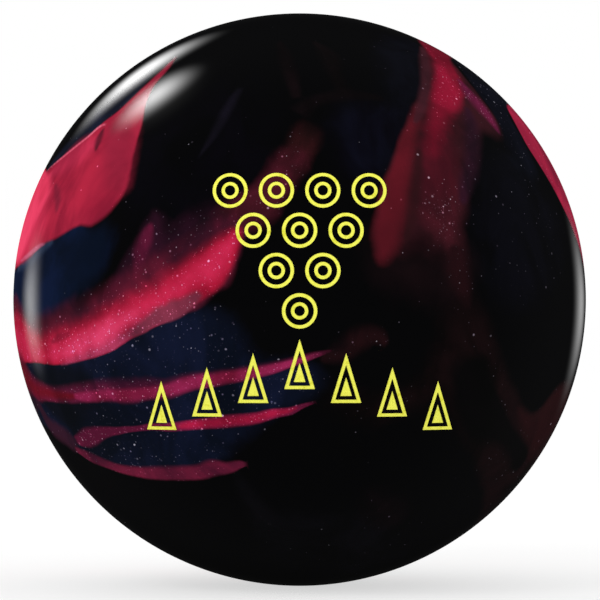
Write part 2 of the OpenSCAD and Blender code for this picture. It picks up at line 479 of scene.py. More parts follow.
pool("navy pool", deep=(3, 8, 21), bright=(13, 20, 44), sparkle=0.5, outline=[
    (-79, -12.5, 1), (-52, -12, 1), (-37, -8, 1), (-18, -1.5, 4), (-13.5, -4, 6), (-8, -11.5, 5),
    (1, -12.5, 5), (4, -15, 5), (3.5, -18, 4), (-5, -22, 4), (-11, -26, 5), (-18, -32, 3),
    (-26, -34, 1.5), (-52, -33, 1), (-69, -27.5, 1), (-90, -24, 2), (-104, -22, 2), (-104, -15, 2),
])
pool("navy dusk", deep=(1, 4, 11), bright=(5, 8, 19), sparkle=0, strength=0.95, outline=[
    (-72, -15.5, 4), (-52, -12.5, 4), (-46, -15, 4), (-46, -19.5, 4), (-59.5, -26.5, 4), (-65, -24, 4),
    (-70.5, -20.5, 4),
])
# Partly navy resin between the patch and the ball's edge, partly a painted halo of the upper highlights'
# gloss.
pool("navy sliver and painted halo", deep=(10, 14, 28), bright=(26, 30, 50), sparkle=0.03, outline=[
    (-79, 26, 1.2), (-68, 29.5, 1.2), (-60.5, 33.5, 1.2), (-52.5, 41, 1.2), (-50.5, 48, 1.2),
    (-53.5, 51, 3.5), (-58.5, 46, 4), (-70, 33, 4),
])
pool("blue crest", deep=(1, 2, 9), bright=(8, 10, 22), sparkle=0.3, outline=[
    (75, 57, 1.5), (60, 46, 1.2), (58.5, 39, 1.2), (55.5, 31, 5), (57.5, 23.5, 7), (63.5, 25.5, 3),
    (65, 32, 2), (68.5, 39.5, 1), (92, 44, 2), (96, 54, 2),
])
pool("blue hollow", deep=(0, 0, 4), bright=(6, 7, 17), sparkle=0.03, outline=[
    (40, 62.5, 7), (55.5, 65, 3), (59, 62.5, 1.5), (44, 54, 1.2), (34.5, 44, 1.5), (26, 40, 6),
    (24.5, 45.5, 8),
])
pool("haze", deep=(16, 6, 14), bright=(46, 13, 32), sparkle=0.6, outline=[
    (-39.5, 1.5, 4), (-38, 4, 3), (-33, 12, 2.2), (-32.5, 13.5, 2.2), (-31, 15.5, 2.2), (-30, 17, 2.5),
    (-28, 16, 3), (-27, 13.5, 4), (-18.5, 17, 6), (-15, 16, 6), (-16.5, 11, 4), (-27.5, 5, 4),
    (-35.5, 1.5, 4),
])
vein("haze glow", deep=(58, 10, 32), bright=(114, 25, 60), sparkle=0.8, strength=0.8,
     soft=(0.95, 0.95), line=[
    (-30, 15, 0.5), (-30.5, 14, 1.3), (-31.5, 11, 2.6), (-32, 9.5, 2.6), (-32, 5.5, 2), (-33, 3.5, 1.2),
])
pool("band shadow", deep=(44, 13, 28), bright=(98, 22, 44), sparkle=0.6, outline=[
    (-104, -2, 3), (-78, 0, 3), (-69, -3, 4), (-60, -4, 4.5), (-51, -1.5, 5), (-42, 1, 5), (-35, 5, 4),
    (-23, 11, 3.5), (-19.5, 13.5, 3), (-13.5, 16, 2), (-11.5, 15, 2), (-10.5, 12.5, 1.5), (-12, 7, 1.5),
    (-13.5, 3, 2), (-16, 1.5, 2), (-19, -1.5, 1), (-29.5, -4, 2), (-45, -9, 2), (-69.5, -10.5, 2),
    (-104, -10, 2),
])
pool("band", deep=(118, 8, 32), bright=(190, 26, 60), sparkle=1.5, outline=[
    (-104, -6, 3), (-78.5, -3, 3), (-59.5, -7, 4), (-28, 3, 5), (-25, 5.5, 4.5), (-21.5, 7.5, 4),
    (-13, 13.5, 2), (-11.5, 13.5, 1.5), (-11, 12.5, 1.2), (-15, 2.5, 1.5), (-24, -2.5, 1),
    (-28.5, -5, 0.8), (-33.5, -7, 0.7), (-40, -10, 0.6), (-55, -12.5, 0.6), (-74.5, -12.5, 0.6),
    (-100, -17, 2), (-118, -24, 2), (-142, -36, 2), (-166, -43, 2), (178, -42, 2), (-164, -36, 3),
    (-140, -23, 4), (-120, -12, 4),
])
pool("band fire", deep=(178, 20, 54), bright=(212, 46, 88), sparkle=1.5, strength=0.85, outline=[
    (-104, -7, 3), (-77.5, -6, 3), (-67, -8.5, 5), (-57, -9, 5), (-29.5, 0, 5), (-21, 5.5, 4),
    (-12.5, 12.5, 1.6), (-12, 11, 1.6), (-13, 9, 2), (-14, 6, 2.5), (-16, 4, 3), (-26.5, -0.5, 4),
    (-43.5, -9, 3), (-54.5, -11.5, 2), (-79, -12.5, 1), (-104, -16, 3), (-130, -26, 4), (-150, -34, 4),
    (-135, -19, 5),
])
pool("band rim", deep=(98, 30, 54), bright=(186, 64, 102), sparkle=2.4, strength=0.85, outline=[
    (-55.5, -12.5, 1.2), (-41, -8, 3), (-24.5, -1.5, 3), (-24, -3, 1), (-28.5, -5, 0.7),
    (-33.5, -7, 0.7), (-40, -10, 0.6),
])
pool("band glow", deep=(196, 40, 78), bright=(230, 70, 114), sparkle=2, strength=0.8, outline=[
    (-54, -10.5, 3), (-41.5, -5, 4), (-32.5, -2.5, 3), (-39, -7.5, 3), (-51, -11, 3),
])
pool("band shade", deep=(86, 32, 50), bright=(134, 52, 74), sparkle=1.4, strength=0.95, outline=[
    (-34.5, -7, 1), (-28, -1.5, 1.5), (-26.5, -1, 1.5), (-25, 0, 1.5), (-23.5, 0, 1.5), (-20, 1.5, 1.5),
    (-18.5, 1, 1.2), (-22.5, -3, 0.8), (-28.5, -5, 0.8), (-30.5, -6, 0.8),
])
vein("band scar", deep=(70, 12, 30), bright=(106, 18, 42), sparkle=0.1, strength=0.5,
     soft=(0.7, 0.7), line=[
    (-58.5, -8.5, 0.6), (-53.5, -7, 1.6), (-50, -6.5, 0.6),
])
vein("second band", deep=(52, 11, 34), bright=(108, 24, 58), sparkle=1.4, soft=(0.8, 0.3), line=[
    (-150, -52, 1), (-128, -40, 4), (-108, -22, 4.5), (-81, -14.5, 6.75), (-74, -17.5, 4.9),
    (-66.5, -18.5, 3), (-59, -19, 2.7), (-43.5, -18, 3.5), (-37.5, -18, 3.9), (-31.5, -17.5, 3.45),
    (-27.5, -17.5, 3.1), (-22, -16, 2.7), (-5, -13, 1.75), (3, -10.5, 1), (6.5, -9.5, 0.35),
])
vein("second band ember", deep=(84, 6, 22), bright=(116, 13, 34), sparkle=0.3, soft=(0.9, 0.9), line=[
    (-150, -52, 1), (-128, -40, 3), (-108, -22, 4), (-80, -15.5, 5.8), (-72, -18, 3.3),
    (-64.5, -18.5, 2.05), (-59, -19, 1.7), (-54, -19, 1.15), (-49, -18.5, 0.55),
])
vein("second band fire", deep=(108, 17, 46), bright=(158, 38, 86), sparkle=1.5, soft=(0.6, 0.6), line=[
    (-54, -19, 0.9), (-48, -19, 1.8), (-42.5, -18.5, 1.9), (-38, -18.5, 2.15), (-28, -17.5, 1.85),
    (-22, -16, 2.2), (-5, -13, 1.4), (3, -10.5, 0.5),
])
vein("second band drift", deep=(12, 3, 6), bright=(46, 16, 20), sparkle=0.4, strength=0.6,
     soft=(0.9, 0.9), line=[
    (3.5, -11.5, 1), (7.5, -10, 3), (11, -7.5, 3.4), (15, -7, 2.6), (17, -9, 1),
])
vein("third line", deep=(84, 16, 46), bright=(136, 28, 70), sparkle=1.5, soft=(0.4, 0.3), line=[
    (-60.5, -28.5, 1.4), (-57.5, -28.5, 2.75), (-52, -27.5, 3.4), (-47, -26.5, 2.1),
    (-37.5, -25.5, 1.1), (-32.5, -25, 1.3), (-28, -25, 1.7), (-23.5, -24.5, 1.7), (-14, -23.5, 2.1),
    (-9, -23, 1.85), (-5, -22, 1.7), (-2, -21.5, 1.4), (0.5, -20.5, 0.9), (3.5, -19.5, 0.4),
])
vein("third core", deep=(128, 14, 44), bright=(184, 28, 70), sparkle=1.7, soft=(0.8, 0.8), line=[
    (-27, -25, 0.6), (-24, -24.5, 1.2), (-13.5, -23.5, 1.7), (-9, -23, 1.55), (-5.5, -22, 1.3),
    (-2.5, -21.5, 0.9), (0, -20.5, 0.55),
])
vein("edging", deep=(30, 14, 28), bright=(56, 22, 40), sparkle=0.1, strength=0.9, soft=(0.5, 0.5), line=[
    (-92, -26, 2), (-75, -21, 2.5), (-72, -25.5, 4.4), (-66, -27.5, 4.3), (-62.5, -29, 4.2),
    (-59.5, -30, 1.95),
])
vein("crescent", deep=(62, 15, 38), bright=(126, 30, 60), sparkle=0.7, soft=(0.5, 0.3), line=[
    (-63, -30.5, 1.05), (-56.5, -32.5, 2.3), (-52.5, -33.5, 2), (-48.5, -34.5, 1.95),
    (-40.5, -35.5, 2.45), (-35, -35.5, 2.85), (-23.5, -35, 2.95), (-20, -34, 3.2), (-17, -34, 2.5),
    (-13.5, -33, 1.5), (-11.5, -33, 0.65),
])
pool("fan dusk", deep=(10, 3, 5), bright=(18, 6, 9), sparkle=0.03, outline=[
    (14, 12, 8), (19, 9, 8), (34, 9.5, 8), (32.5, -1.5, 8), (23.5, 0.5, 8), (15.5, 3.5, 8),
])
pool("fan", deep=(36, 11, 16), bright=(53, 18, 26), sparkle=0.08, outline=[
    (140, 48, 2), (124, 60, 2), (100, 68, 1.5), (80.5, 65.5, 1.5), (50.5, 57, 1.2), (40, 49.5, 1.2),
    (34.5, 43.5, 1.2), (28.5, 38.5, 1.2), (17, 21.5, 1.4), (14.5, 12, 2), (15.5, 9, 4), (24, 10.5, 7),
    (28, 9.5, 7), (31.5, 7, 6), (33.5, 9.5, 3.5), (34, 14, 3), (38.5, 24, 3), (41.5, 27.5, 3),
    (48, 34.5, 3.5), (53.5, 33, 3), (57, 36, 1.5), (60, 48.5, 1.2), (71, 57, 1.2), (92, 54, 1.5),
    (118, 46, 2),
])
pool("fan left", deep=(78, 16, 26), bright=(97, 20, 32), sparkle=0.04, outline=[
    (32.5, 41, 3), (23.5, 32.5, 1.4), (20, 26.5, 1.4), (17, 21.5, 1.4), (14.5, 11.5, 2.5),
    (15.5, 7.5, 3), (18, 9, 3.5), (28, 34.5, 4),
])
vein("grey streak", deep=(50, 20, 28), bright=(70, 29, 39), sparkle=0.15, strength=0.85,
     soft=(0.6, 0.6), line=[
    (59, 60.5, 1), (47, 54, 2.4), (38, 46, 2.4), (32.5, 40.5, 2), (28, 35.5, 0.8),
])
pool("fan core", deep=(54, 12, 22), bright=(78, 17, 30), sparkle=0.08, outline=[
    (124, 57, 2), (100, 66, 1.5), (34.5, 39.5, 2), (27, 28.5, 3), (25, 16.5, 6), (28, 15, 8),
    (35.5, 26, 5), (37, 32, 4), (41, 37.5, 4), (49, 43, 3), (58.5, 49, 1.5), (70, 56.5, 1.2),
    (92, 55, 1.5), (114, 53, 2),
])
pool("fan fire", deep=(100, 11, 31), bright=(132, 19, 44), sparkle=0.3, outline=[
    (106, 62, 2), (68, 63.5, 1.5), (58.5, 59, 1.5), (47, 50, 2), (40, 45.5, 2.5), (31.5, 34.5, 4),
    (30.5, 29.5, 6), (38.5, 37, 4), (45, 40.5, 3), (54, 47, 2), (66, 55.5, 1.2), (96, 58, 2),
])
pool("fan heart", deep=(128, 13, 40), bright=(158, 22, 54), sparkle=1.2, strength=0.95, outline=[
    (50.5, 52.5, 3), (54, 52.5, 3), (51.5, 49, 3), (47.5, 43, 4), (38.5, 40, 7), (38, 42.5, 4),
    (46.5, 50, 2.5),
])
pool("fan foot", deep=(52, 15, 23), bright=(84, 26, 38), sparkle=2.2, strength=0.9, outline=[
    (26.5, 20.5, 6), (31, 20, 6), (33, 17, 4), (30.5, 10.5, 5), (25.5, 16, 6),
])
vein("violet hem", deep=(22, 9, 20), bright=(50, 18, 36), sparkle=0.45, strength=0.85,
     soft=(0.9, 0.9), line=[
    (48.5, 41, 1), (46, 36.5, 3), (40, 27, 3), (36.5, 22, 2.6), (34.5, 18, 1),
])
vein("fan drift", deep=(18, 5, 8), bright=(38, 11, 16), sparkle=0.4, strength=0.9,
     soft=(0.9, 0.9), line=[
    (31, 11, 1), (31.5, 8, 4), (32, 4.5, 4), (34, -2.5, 1),
])
vein("magenta hem", deep=(72, 15, 46), bright=(120, 28, 68), sparkle=2.4, strength=0.82,
     soft=(0.8, 0.95), line=[
    (55.5, 49.5, 0.6), (54, 43.5, 3.2), (55, 38.5, 2.6), (55, 33.5, 0.5),
])
vein("fan gap", deep=(38, 13, 17), bright=(48, 16, 21), sparkle=0.04, strength=0.8,
     soft=(0.9, 0.9), line=[
    (27.5, 30.5, 1), (25.5, 25, 2), (23.5, 19, 2.2), (22, 14, 1.6), (20.5, 10.5, 0.8),
])
pool("right crescent", deep=(122, 22, 50), bright=(176, 36, 68), sparkle=0.15, outline=[
    (88, 42, 1), (72, 41, 0.8), (66.5, 33, 0.6), (67, 29, 0.6), (72.5, 18.5, 1), (78.5, 11.5, 2),
    (84, 7, 3), (138, -16, 3), (165, -24, 3), (-172, -22, 3), (148, 2, 3), (128, 18, 3), (108, 38, 3),
])
pool("right crescent fire", deep=(150, 26, 52), bright=(204, 50, 84), sparkle=0.2, strength=0.85,
     outline=[
    (92, 30, 4), (96, 12, 4), (118, 0, 5), (142, -12, 4), (134, 2, 5), (112, 24, 5),
])
pool("ember pool", deep=(2, 0, 0), bright=(20, 6, 8), sparkle=0.12, outline=[
    (6, -19.5, 8), (11.5, -18.5, 6), (18, -18.5, 6), (24, -14.5, 6), (31.5, -0.5, 8), (37, -2, 5),
    (42, -10, 3.5), (49.5, -18, 2.5), (58, -22.5, 1.5), (63.5, -21, 1.5), (67.5, -17, 1.5),
    (82, -17, 2), (98, -24, 4), (124, -34, 4), (130, -46, 5), (100, -56, 5), (82, -54, 4), (83, -55, 3),
    (64.5, -46, 2.5), (33.5, -23.5, 4), (27.5, -20.5, 5), (21.5, -21, 6), (12.5, -23.5, 7),
])
pool("ember glow", deep=(20, 5, 7), bright=(37, 11, 14), sparkle=0.08, outline=[
    (52.5, -21.5, 3), (59, -23, 2), (67.5, -18, 2.5), (77, -17.5, 2.5), (92, -30, 4), (112, -40, 5),
    (85, -35.5, 5), (61.5, -29, 4),
])
pool("black window", deep=(0, 0, 0), bright=(2, 1, 2), sparkle=0, outline=[
    (31.5, -12.5, 4), (38.5, -11, 2.5), (42.5, -16.5, 1.8), (51, -24, 1.8), (67.5, -32.5, 1.6),
    (66.5, -36, 2), (50.5, -29.5, 3.5), (39.5, -28, 4), (33, -20.5, 4),
])
pool("ember foot", deep=(0, 0, 0), bright=(12, 4, 7), sparkle=0.1, outline=[
    (17.5, -40.5, 7), (27, -43, 7), (32, -50, 7), (22.5, -47.5, 7),
])
# Painted highlight: a faint blue-grey veil along the patch's low edge that stands in for the soft skirt of
# the left edge light's gloss.
vein("painted left highlight haze", deep=(40, 54, 80), bright=(60, 76, 102), sparkle=0.03, strength=0.5,
     soft=(0.9, 0.9), line=[
    (-79, 6, 1), (-72, 7.5, 2.4), (-66, 9, 2.8), (-61.5, 10.5, 2), (-57.5, 11.5, 0.8),
])
pool("patch", deep=(134, 22, 48), bright=(180, 36, 64), sparkle=0.03, outline=[
    (-100, 6, 2), (-79.5, 6.5, 0.8), (-67.5, 9, 1), (-62, 11, 1), (-57, 12, 1), (-49.5, 14.5, 1),
    (-45.5, 14.5, 1.3), (-40, 18.5, 1.4), (-38.5, 22.5, 1.3), (-39.5, 29, 1), (-41, 36, 0.8),
    (-43, 40, 0.7), (-45.5, 46, 0.8), (-46, 51, 1.1), (-49, 56, 1.2), (-48.5, 51, 1.2),
    (-52.5, 40.5, 1), (-56, 37.5, 0.8), (-60.5, 33.5, 0.6), (-77.5, 26, 0.6), (-90, 29, 1),
    (-112, 38, 2), (-140, 50, 2), (-168, 56, 2), (166, 52, 2), (150, 40, 2), (170, 44, 3),
    (-164, 42, 3), (-140, 32, 3), (-118, 14, 3),
])
pool("patch fire", deep=(164, 32, 60), bright=(214, 50, 84), sparkle=0.03, strength=0.9, outline=[
    (-104, 12, 3), (-78.5, 7.5, 2), (-67, 10.5, 4), (-63, 15.5, 5), (-67.5, 20.5, 5), (-78.5, 24, 2),
    (-92, 28, 2), (-110, 34, 3), (-132, 42, 4), (-128, 30, 5),
])
vein("patch top fire", deep=(164, 36, 66), bright=(204, 50, 84), sparkle=0.03, strength=0.75,
     soft=(0.95, 0.95), line=[
    (-72.5, 25, 1), (-66, 27.5, 4), (-60.5, 29.5, 5.5), (-56, 31.5, 4), (-53.5, 33.5, 1),
])
pool("patch shade", deep=(112, 18, 40), bright=(146, 31, 57), sparkle=0.03, strength=0.8, outline=[
    (-51.5, 35.5, 5), (-46, 37.5, 5), (-39, 27, 5), (-39.5, 21, 5), (-45, 23.5, 5),
])
pool("patch low fire", deep=(116, 14, 40), bright=(170, 29, 59), sparkle=0.04, strength=0.6, outline=[
    (-51, 18, 4), (-45, 19.5, 4), (-44.5, 17.5, 4), (-47.5, 16, 4),
])
# Brighter crimson along the ball's left edge: partly the patch's own colour, partly painted rim light from
# the left.
pool("patch limb fire and painted rim light", deep=(216, 52, 84), bright=(250, 74, 112), sparkle=0.03, strength=0.9, outline=[
    (-104, 14, 3), (-78.5, 7.5, 2), (-73, 11, 4), (-68, 18.5, 4), (-66.5, 21.5, 4), (-70, 24.5, 3),
    (-76, 26, 1), (-92, 28, 2), (-106, 30, 4), (-118, 22, 5),
])
vein("patch low hem", deep=(172, 80, 112), bright=(206, 110, 142), sparkle=0.03, strength=0.6,
     soft=(0.7, 0.7), line=[
    (-76.5, 7.5, 0.5), (-71, 8.5, 0.9), (-64, 10.5, 0.9), (-61, 11, 0.4),
])
vein("patch smudge", deep=(100, 22, 42), bright=(126, 32, 56), sparkle=0.04, strength=0.7,
     soft=(0.9, 0.9), line=[
    (-65.5, 23.5, 0.6), (-62, 21, 2), (-60, 19, 2), (-59.5, 16.5, 0.6),
])
vein("patch scratch", deep=(56, 14, 28), bright=(84, 20, 38), sparkle=0.04, strength=0.85,
     soft=(0.8, 0.8), line=[
    (-55, 36, 0.4), (-54, 33, 2), (-52.5, 29.5, 0.4),
])
vein("patch hem", deep=(226, 86, 116), bright=(244, 130, 156), sparkle=0.04, strength=0.75,
     soft=(0.6, 0.6), line=[
    (-77.5, 26, 0.5), (-67.5, 29.5, 0.8), (-60, 33.5, 0.8), (-57, 36, 0.8), (-54, 36.5, 0.4),
])
vein("back glow", deep=(60, 14, 34), bright=(104, 26, 52), sparkle=0.5, strength=0.85,
     soft=(0.9, 0.9), line=[
    (-122, 24, 1), (-140, 30, 4), (-158, 26, 6.5), (-174, 14, 7), (174, 2, 5), (160, -6, 3),
    (146, -6, 1),
])
vein("back ribbon", deep=(120, 20, 52), bright=(188, 40, 82), sparkle=0.8, soft=(0.7, 0.2), line=[
    (-108, -2, 0.6), (-126, 5, 2.2), (-144, 10, 3.6), (-160, 6, 4.2), (-176, -4, 3.4), (168, -11, 2.2),
    (154, -11, 0.6),
])
vein("back thread", deep=(140, 24, 56), bright=(208, 48, 84), sparkle=0.5, soft=(0.4, 0.4), line=[
    (-118, -32, 0.5), (-140, -48, 1.6), (-172, -60, 2.2), (140, -62, 1.6), (112, -52, 0.5),
])
vein("back arch", deep=(70, 16, 40), bright=(128, 34, 68), sparkle=0.4, soft=(0.8, 0.3), line=[
    (110, 36, 0.8), (128, 38, 2.8), (146, 33, 4), (162, 22, 3.4), (176, 13, 2), (-174, 10, 0.6),
])
pool("heel glow", deep=(44, 12, 20), bright=(92, 24, 42), sparkle=0.3, strength=0.9, outline=[
    (-128, -56, 6), (-108, -62, 6), (-150, -78, 6), (-168, -66, 6),
])
vein("heel line", deep=(96, 18, 46), bright=(150, 34, 70), sparkle=0.4, soft=(0.5, 0.5), line=[
    (-104, -52, 0.5), (-122, -62, 2), (-150, -70, 2.6), (140, -62, 0.5),
])

# Where a vein lies: inside its width, with an edge of its own softness on each side. It fades out at its
# ends, where its room runs short.
vein_cover, ends_in, ends_out = new_group(
    "vein cover",
    [("Across", "NodeSocketFloat", far_off), ("Room", "NodeSocketFloat", -far_off),
     ("Waver", "NodeSocketFloat", 0.0), ("Left Soft", "NodeSocketFloat", 0.5),
     ("Right Soft", "NodeSocketFloat", 0.5)],
    [("Cover", "NodeSocketFloat")],
)
wavering = maths(vein_cover, "MULTIPLY_ADD", ends_in.outputs["Waver"], 0.5, ends_in.outputs["Across"])
on_left = maths(vein_cover, "GREATER_THAN", wavering, 0.0)
softer = maths(vein_cover, "SUBTRACT", ends_in.outputs["Left Soft"], ends_in.outputs["Right Soft"])
soft = maths(vein_cover, "MULTIPLY_ADD", on_left, softer, ends_in.outputs["Right Soft"])
inside = eased(vein_cover, maths(vein_cover, "ABSOLUTE", wavering, 0.0),
               maths(vein_cover, "ADD", 1.0, soft), maths(vein_cover, "SUBTRACT", 1.0, soft))
within = eased(vein_cover, ends_in.outputs["Room"], 0.0, 2.5)
vein_cover.links.new(maths(vein_cover, "MULTIPLY", inside, within), ends_out.inputs["Cover"])

# One stream over what was poured before it. Its colour runs from deep to bright along the flow.
pour, ends_in, ends_out = new_group(
    "pour",
    [("Under Colour", "NodeSocketColor", (0, 0, 0, 1)), ("Under Sparkle", "NodeSocketFloat", 0.0),
     ("Cover", "NodeSocketFloat", 0.0), ("Flow", "NodeSocketFloat", 0.5),
     ("Deep", "NodeSocketColor", (0, 0, 0, 1)), ("Bright", "NodeSocketColor", (1, 1, 1, 1)),
     ("Sparkle", "NodeSocketFloat", 0.0), ("Strength", "NodeSocketFloat", 1.0)],
    [("Colour", "NodeSocketColor"), ("Sparkle", "NodeSocketFloat")],
)
cover = maths(pour, "MULTIPLY", ends_in.outputs["Cover"], ends_in.outputs["Strength"])
flowing = blend(pour, ends_in.outputs["Flow"], ends_in.outputs["Deep"], ends_in.outputs["Bright"])
pour.links.new(blend(pour, cover, ends_in.outputs["Under Colour"], flowing), ends_out.inputs["Colour"])
more = maths(pour, "SUBTRACT", ends_in.outputs["Sparkle"], ends_in.outputs["Under Sparkle"])
pour.links.new(maths(pour, "MULTIPLY_ADD", more, cover, ends_in.outputs["Under Sparkle"]),
               ends_out.inputs["Sparkle"])

# Pearl flakes in clear resin: one in each small cell at most, of its own size, brightness and tint. They lie
# at random, so that few of them catch the light, and these are painted brighter as painted glints, taking up
# the colour of the resin around them.
warm_pearl = (0.08, 0.06, 0.09, 1)
cool_pearl = (0.5, 0.47, 0.55, 1)
taken_up = (5, 5, 5)

flakes_and_painted_glints, ends_in, ends_out = new_group(
    "pearl flakes and painted glints",
    [("Place", "NodeSocketVector", (0, 0, 0)), ("Under Colour", "NodeSocketColor", (0, 0, 0, 1)),
     ("Scale", "NodeSocketFloat", 800.0), ("Share", "NodeSocketFloat", 0.1), ("Size", "NodeSocketFloat", 0.3),
     ("Light", "NodeSocketFloat", 1.0)],
    [("Colour", "NodeSocketColor")],
)
cells = add_node(flakes_and_painted_glints, "ShaderNodeTexVoronoi", {
    "Vector": ends_in.outputs["Place"], "Scale": ends_in.outputs["Scale"]})
chance = add_node(flakes_and_painted_glints, "ShaderNodeSeparateColor", {"Color": cells.outputs["Color"]})
lies_flat = maths(flakes_and_painted_glints, "LESS_THAN", chance.outputs[0], ends_in.outputs["Share"])
flake_r = maths(flakes_and_painted_glints, "MULTIPLY", ends_in.outputs["Size"],
                maths(flakes_and_painted_glints, "MULTIPLY_ADD", chance.outputs[1], 0.6, 0.6))
flake_middle = maths(flakes_and_painted_glints, "MULTIPLY", flake_r, 0.3)
on_flake = eased(flakes_and_painted_glints, cells.outputs["Distance"], flake_r, flake_middle)
catch = maths(flakes_and_painted_glints, "MULTIPLY", maths(flakes_and_painted_glints, "POWER", chance.outputs[2], 2.0),
              ends_in.outputs["Light"])
shows = maths(flakes_and_painted_glints, "MULTIPLY", lies_flat, on_flake)
# Painted glint: how much a flake is painted brighter, as if it caught the light.
painted_glint = maths(flakes_and_painted_glints, "MULTIPLY", shows, catch, clamp=True)
cool = maths(flakes_and_painted_glints, "POWER", chance.outputs[1], 6.0)
tint = blend(flakes_and_painted_glints, cool, warm_pearl, cool_pearl)
lit = add_node(flakes_and_painted_glints, "ShaderNodeVectorMath", {
    0: ends_in.outputs["Under Colour"], 1: taken_up, 2: tint}, operation="MULTIPLY_ADD")
brightened = add_node(flakes_and_painted_glints, "ShaderNodeVectorMath", {
    0: lit.outputs[0], 1: (1, 1, 1)}, operation="MINIMUM")
flakes_and_painted_glints.links.new(blend(flakes_and_painted_glints, painted_glint, ends_in.outputs["Under Colour"], brightened.outputs[0]),
                       ends_out.inputs["Colour"])


def noise(tree, place, size, detail=2.0, roughness=0.5, distortion=0.0):
    """Soft noise whose patches are about size metres across."""
    sockets = {"Vector": place, "Scale": 1 / size, "Detail": detail, "Roughness": roughness,
               "Distortion": distortion}
    return add_node(tree, "ShaderNodeTexNoise", sockets).outputs["Fac"]


# The finished resin: near black, then each stream over the last, then fine and coarser flakes with painted
# glints. Its gloss is a clear coat that is kept weak, and weakest towards the ball's edge.
marbled_resin, tree, place = new_material("marbled resin")
waver = maths(tree, "SUBTRACT", noise(tree, place, 0.009, detail=3.0, distortion=0.4), 0.5)
stretched = add_node(tree, "ShaderNodeMapping", {"Vector": place, "Scale": (1.0, 1.0, 0.6)})
drift = noise(tree, stretched.outputs[0], 0.022, detail=3.5, roughness=0.55, distortion=0.7)
flow = eased(tree, drift, 0.3, 0.7)
colour = dye(0, 0, 1)
sparkle = 0.002
for name, deep, bright, stream_sparkle, strength, soft in streams:
    depth = add_node(tree, "ShaderNodeAttribute", attribute_name=name).outputs["Fac"]
    if soft is None:
        wavering = maths(tree, "MULTIPLY_ADD", waver, 1.1, depth)
        cover = eased(tree, wavering, -1.0, 1.0)
    else:
        room = add_node(tree, "ShaderNodeAttribute", attribute_name=name + " room").outputs["Fac"]
        cover = place_group(tree, vein_cover, {
            "Across": depth, "Room": room, "Waver": waver, "Left Soft": soft[0], "Right Soft": soft[1],
        }).outputs["Cover"]
    layer = place_group(tree, pour, {
        "Under Colour": colour, "Under Sparkle": sparkle, "Cover": cover, "Flow": flow,
        "Deep": deep, "Bright": bright, "Sparkle": stream_sparkle, "Strength": strength})
    colour = layer.outputs["Colour"]
    sparkle = layer.outputs["Sparkle"]
for scale, share, size, light in ((1500.0, 0.26, 0.45, 0.75), (800.0, 0.12, 0.45, 1.0)):
    flakes = place_group(tree, flakes_and_painted_glints, {
        "Place": place, "Under Colour": colour, "Scale": scale,
        "Share": maths(tree, "MULTIPLY", sparkle, share), "Size": size, "Light": light})
    colour = flakes.outputs["Colour"]
middle_gloss = 0.05
edge_gloss = 0.01
facing = add_node(tree, "ShaderNodeLayerWeight", {"Blend": 0.5}).outputs["Facing"]
gloss = eased(tree, facing, 0.3, 0.85, middle_gloss, edge_gloss)
finish_material(tree, {"Base Color": colour, "Roughness": 0.5, "Specular IOR Level": 0.0,
                       "Coat Weight": gloss, "Coat Roughness": 0.03, "Coat IOR": 1.5})
skin.materials.append(marbled_resin)
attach(coverstock, "root")
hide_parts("coverstock")


# ---- Paint in the engraving ----
# Satin paint wiped into the engraver's grooves and levelled a hair below the polished skin: yellow in the pin
# spots, the lane arrows and the side mark, and white in the balance dot near the pin.

inlaid_paint, ends_in, ends_out = new_group(
    "inlaid paint",
    [("Place", "NodeSocketVector", (0, 0, 0)), ("Thin", "NodeSocketColor", (0, 0, 0, 1)),
     ("Full", "NodeSocketColor", (1, 1, 1, 1))],
    [("Colour", "NodeSocketColor"), ("Roughness", "NodeSocketFloat"), ("Height", "NodeSocketFloat")],
)
laid = add_node(inlaid_paint, "ShaderNodeTexNoise", {
    "Vector": ends_in.outputs["Place"], "Scale": 420.0, "Detail": 3.0, "Roughness": 0.6})
inlaid_paint.links.new(
    blend(inlaid_paint, eased(inlaid_paint, laid.outputs["Fac"], 0.25, 0.5),
          ends_in.outputs["Thin"], ends_in.outputs["Full"]), ends_out.inputs["Colour"])
inlaid_paint.links.new(
    eased(inlaid_paint, laid.outputs["Fac"], 0.3, 0.7, 0.5, 0.34), ends_out.inputs["Roughness"])
inlaid_paint.links.new(laid.outputs["Fac"], ends_out.inputs["Height"])

yellow_fillings = ("pin_spot_fill", "lane_arrow_fill", "side_mark_fill")
white_fillings = ("balance_dot_fill",)
for name, thin, full, filled in (
        ("yellow paint", (230, 228, 52), (253, 253, 94), yellow_fillings),
        ("white paint", (214, 214, 208), (240, 240, 236), white_fillings)):
    paint, tree, place = new_material(name)
    coat = place_group(tree, inlaid_paint, {"Place": place, "Thin": dye(*thin), "Full": dye(*full)})
    finish_material(tree, {"Base Color": coat.outputs["Colour"], "Roughness": coat.outputs["Roughness"],
                           "Specular IOR Level": 0.2}, height=coat.outputs["Height"], bump_depth=0.00005)
    for filling in filled:
        give_material(filling, paint)


# ---- The studio ----
# A white floor that runs out to the horizon, in soft light from all round, with one wide softbox at the
# front. Five smaller softboxes stand around the ball and show only as gloss near its edge.

def is_seen(tree):
    """1 where the camera sees a thing, itself or by gloss or glass, and 0 where the thing lights another."""
    ray = tree.nodes.new("ShaderNodeLightPath").outputs
    by_gloss = maths(tree, "MAXIMUM", ray["Is Camera Ray"], ray["Is Glossy Ray"])
    return maths(tree, "MAXIMUM", by_gloss, ray["Is Transmission Ray"])


round_light = 0.9
floor_r = 30
floor_grey = (0.88, 0.88, 0.88, 1) # as the ball is lit by it
floor_seen_grey = (0.42, 0.42, 0.42, 1) # as it is seen, with its own glow added
floor_glow = 0.62

